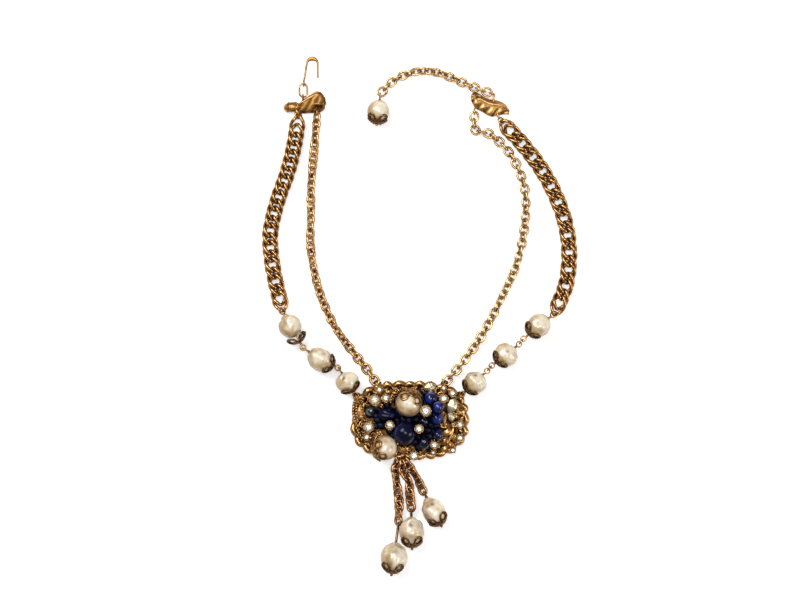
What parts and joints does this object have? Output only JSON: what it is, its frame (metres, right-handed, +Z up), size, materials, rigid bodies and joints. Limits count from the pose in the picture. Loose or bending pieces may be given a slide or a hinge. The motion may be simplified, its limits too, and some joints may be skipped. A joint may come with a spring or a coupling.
{
  "type": "baroque pearl necklace",
  "caption": "Necklace of round-link and curb chains with large baroque pearls in looped caps, a jewelled oblong centrepiece with pearl drops, and a hook clasp with a pearl-ended extender.",
  "frame": {"origin": "centre of the back face of the centrepiece's base plate, on the surface that the necklace lies on", "axes": "+X to the right as seen from above, +Y from the centrepiece to the clasp, +Z up from the surface"},
  "size_m": [0.1416, 0.2339, 0.014],
  "materials": {
    "antique_gold": "antique gold plate, dark in the recesses",
    "bronze_gold": "browned gold plate",
    "dark_brass": "dark antiqued brass",
    "pearl": "cream pearl lustre with pits and grooves",
    "blue_glass": "polished navy glass",
    "dark_glass": "faceted dark glass",
    "crystal": "cut clear stones with foiled backs",
    "champagne": "pale champagne gold"
  },
  "bodies": {
    "root": {"hook": "antique_gold", "hook_ring": "antique_gold", "leaf_left": "bronze_gold", "leaf_right": "antique_gold", "curb_chain_left": "bronze_gold", "curb_chain_right": "bronze_gold", "inner_chain_left": "antique_gold", "inner_chain_right": "antique_gold", "extender_chain": "antique_gold", "drop_chain_left": "bronze_gold", "drop_chain_middle": "bronze_gold", "drop_chain_right": "bronze_gold", "pearl_left_1": "pearl", "pearl_left_2": "pearl", "pearl_left_3": "pearl", "pearl_right_1": "pearl", "pearl_right_2": "pearl", "pearl_right_3": "pearl", "pearl_drop_left": "pearl", "pearl_drop_middle": "pearl", "pearl_drop_right": "pearl", "pearl_extender": "pearl", "pearl_centre": "pearl", "pearl_lower": "pearl", "cap_left_1": "dark_brass", "cap_left_2": "dark_brass", "cap_left_3": "dark_brass", "cap_right_1": "dark_brass", "cap_right_2": "dark_brass", "cap_right_3": "dark_brass", "cap_drop_left": "dark_brass", "cap_drop_middle": "dark_brass", "cap_drop_right": "dark_brass", "cap_extender": "dark_brass", "cap_centre": "dark_brass", "cap_lower": "dark_brass", "pins_left": "antique_gold", "pins_right": "antique_gold", "pins_drops": "antique_gold", "pin_extender": "antique_gold", "pearl_links": "antique_gold", "base_plate": "antique_gold", "rhinestones": "crystal", "blue_bead_large": "blue_glass", "blue_beads": "blue_glass", "blue_leaf": "blue_glass", "dark_bead": "dark_glass", "leaf_upright": "antique_gold", "leaf_ribbed": "champagne", "champagne_petals": "champagne", "leaf_curved": "antique_gold", "branch_leaf": "antique_gold", "flower_right": "antique_gold", "rosette_lower": "bronze_gold"}
  },
  "joints": []
}
